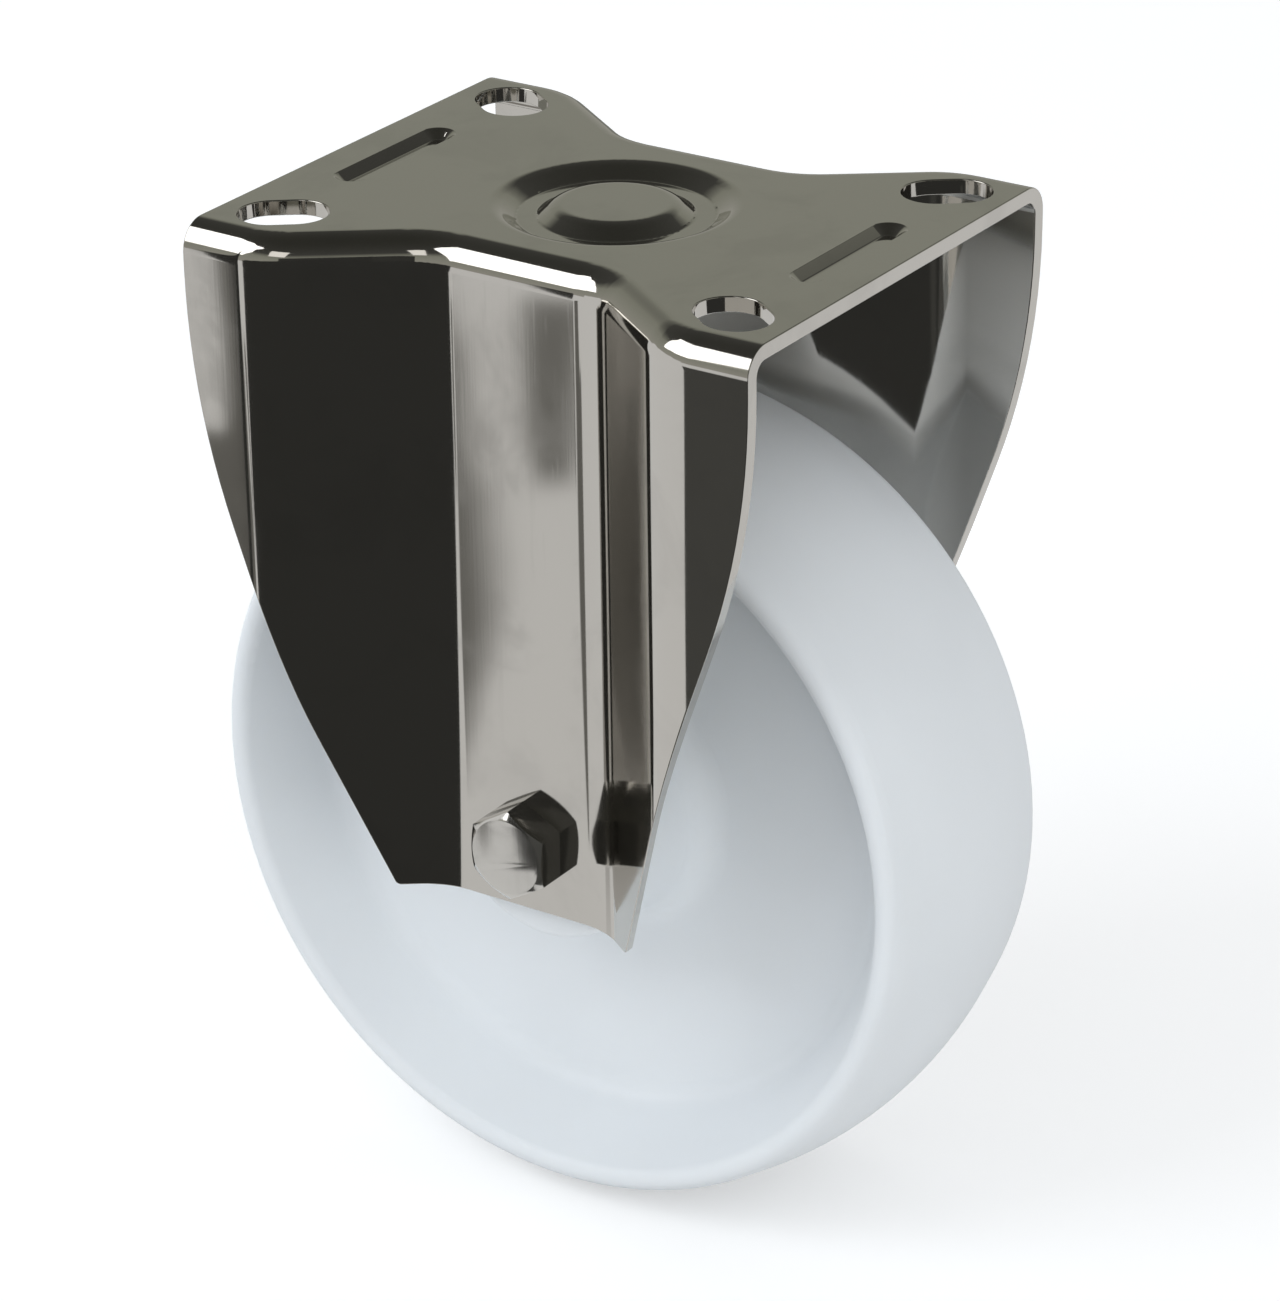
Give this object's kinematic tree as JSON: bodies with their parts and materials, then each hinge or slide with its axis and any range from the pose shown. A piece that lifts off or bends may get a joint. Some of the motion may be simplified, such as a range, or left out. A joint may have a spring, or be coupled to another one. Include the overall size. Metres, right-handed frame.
{
  "type": "fixed castor",
  "caption": "Fixed castor: pressed stainless steel bracket with a waisted top plate and folded legs, and a white solid wheel on a bolted axle.",
  "frame": {"origin": "centre of the top plate's upper face, which is the mounting face", "axes": "+Z out of the mounting face, X along the rolling direction, Y along the axle, bolt head at -Y"},
  "size_m": [0.132, 0.084, 0.1625],
  "materials": {
    "bracket_steel": "polished",
    "wheel_nylon": "satin",
    "cage_plastic": "satin",
    "bearing_steel": "ground",
    "cap_steel": "pressed",
    "bolt_steel": "satin",
    "insert_plastic": "satin"
  },
  "bodies": {
    "bracket": {"bracket": "bracket_steel", "axle_tube": "bearing_steel", "axle_bolt": "bolt_steel", "axle_nut": "bolt_steel", "nut_insert": "insert_plastic"},
    "wheel": {"wheel": "wheel_nylon", "hub_cap_front": "cap_steel", "hub_cap_rear": "cap_steel"},
    "cage": {"roller_cage": "cage_plastic"},
    "roller_01": {"roller_01": "bearing_steel"},
    "roller_02": {"roller_02": "bearing_steel"},
    "roller_03": {"roller_03": "bearing_steel"},
    "roller_04": {"roller_04": "bearing_steel"},
    "roller_05": {"roller_05": "bearing_steel"},
    "roller_06": {"roller_06": "bearing_steel"},
    "roller_07": {"roller_07": "bearing_steel"},
    "roller_08": {"roller_08": "bearing_steel"},
    "roller_09": {"roller_09": "bearing_steel"},
    "roller_10": {"roller_10": "bearing_steel"},
    "roller_11": {"roller_11": "bearing_steel"},
    "roller_12": {"roller_12": "bearing_steel"}
  },
  "joints": [
    {"name": "wheel_spin", "type": "hinge", "parent": "bracket", "child": "wheel", "pos_m": [0, 0, -0.0965], "axis": [0, 1, 0], "continuous": true},
    {"name": "cage_turn", "type": "hinge", "parent": "bracket", "child": "cage", "pos_m": [0, 0, -0.0965], "axis": [0, 1, 0], "continuous": true},
    {"name": "roller_01_spin", "type": "hinge", "parent": "cage", "child": "roller_01", "pos_m": [0, 0, -0.08747], "axis": [0, 1, 0], "continuous": true},
    {"name": "roller_02_spin", "type": "hinge", "parent": "cage", "child": "roller_02", "pos_m": [0.00451, 0, -0.08868], "axis": [0, 1, 0], "continuous": true},
    {"name": "roller_03_spin", "type": "hinge", "parent": "cage", "child": "roller_03", "pos_m": [0.00782, 0, -0.09199], "axis": [0, 1, 0], "continuous": true},
    {"name": "roller_04_spin", "type": "hinge", "parent": "cage", "child": "roller_04", "pos_m": [0.00903, 0, -0.0965], "axis": [0, 1, 0], "continuous": true},
    {"name": "roller_05_spin", "type": "hinge", "parent": "cage", "child": "roller_05", "pos_m": [0.00782, 0, -0.10101], "axis": [0, 1, 0], "continuous": true},
    {"name": "roller_06_spin", "type": "hinge", "parent": "cage", "child": "roller_06", "pos_m": [0.00451, 0, -0.10432], "axis": [0, 1, 0], "continuous": true},
    {"name": "roller_07_spin", "type": "hinge", "parent": "cage", "child": "roller_07", "pos_m": [0, 0, -0.10552], "axis": [0, 1, 0], "continuous": true},
    {"name": "roller_08_spin", "type": "hinge", "parent": "cage", "child": "roller_08", "pos_m": [-0.00451, 0, -0.10432], "axis": [0, 1, 0], "continuous": true},
    {"name": "roller_09_spin", "type": "hinge", "parent": "cage", "child": "roller_09", "pos_m": [-0.00782, 0, -0.10101], "axis": [0, 1, 0], "continuous": true},
    {"name": "roller_10_spin", "type": "hinge", "parent": "cage", "child": "roller_10", "pos_m": [-0.00903, 0, -0.0965], "axis": [0, 1, 0], "continuous": true},
    {"name": "roller_11_spin", "type": "hinge", "parent": "cage", "child": "roller_11", "pos_m": [-0.00782, 0, -0.09199], "axis": [0, 1, 0], "continuous": true},
    {"name": "roller_12_spin", "type": "hinge", "parent": "cage", "child": "roller_12", "pos_m": [-0.00451, 0, -0.08868], "axis": [0, 1, 0], "continuous": true}
  ],
  "couplings": [
    {"joint": "cage_turn", "follows": "wheel_spin", "ratio": 0.58449},
    {"joint": "roller_01_spin", "follows": "wheel_spin", "ratio": 2.9224},
    {"joint": "roller_02_spin", "follows": "wheel_spin", "ratio": 2.9224},
    {"joint": "roller_03_spin", "follows": "wheel_spin", "ratio": 2.9224},
    {"joint": "roller_04_spin", "follows": "wheel_spin", "ratio": 2.9224},
    {"joint": "roller_05_spin", "follows": "wheel_spin", "ratio": 2.9224},
    {"joint": "roller_06_spin", "follows": "wheel_spin", "ratio": 2.9224},
    {"joint": "roller_07_spin", "follows": "wheel_spin", "ratio": 2.9224},
    {"joint": "roller_08_spin", "follows": "wheel_spin", "ratio": 2.9224},
    {"joint": "roller_09_spin", "follows": "wheel_spin", "ratio": 2.9224},
    {"joint": "roller_10_spin", "follows": "wheel_spin", "ratio": 2.9224},
    {"joint": "roller_11_spin", "follows": "wheel_spin", "ratio": 2.9224},
    {"joint": "roller_12_spin", "follows": "wheel_spin", "ratio": 2.9224}
  ]
}
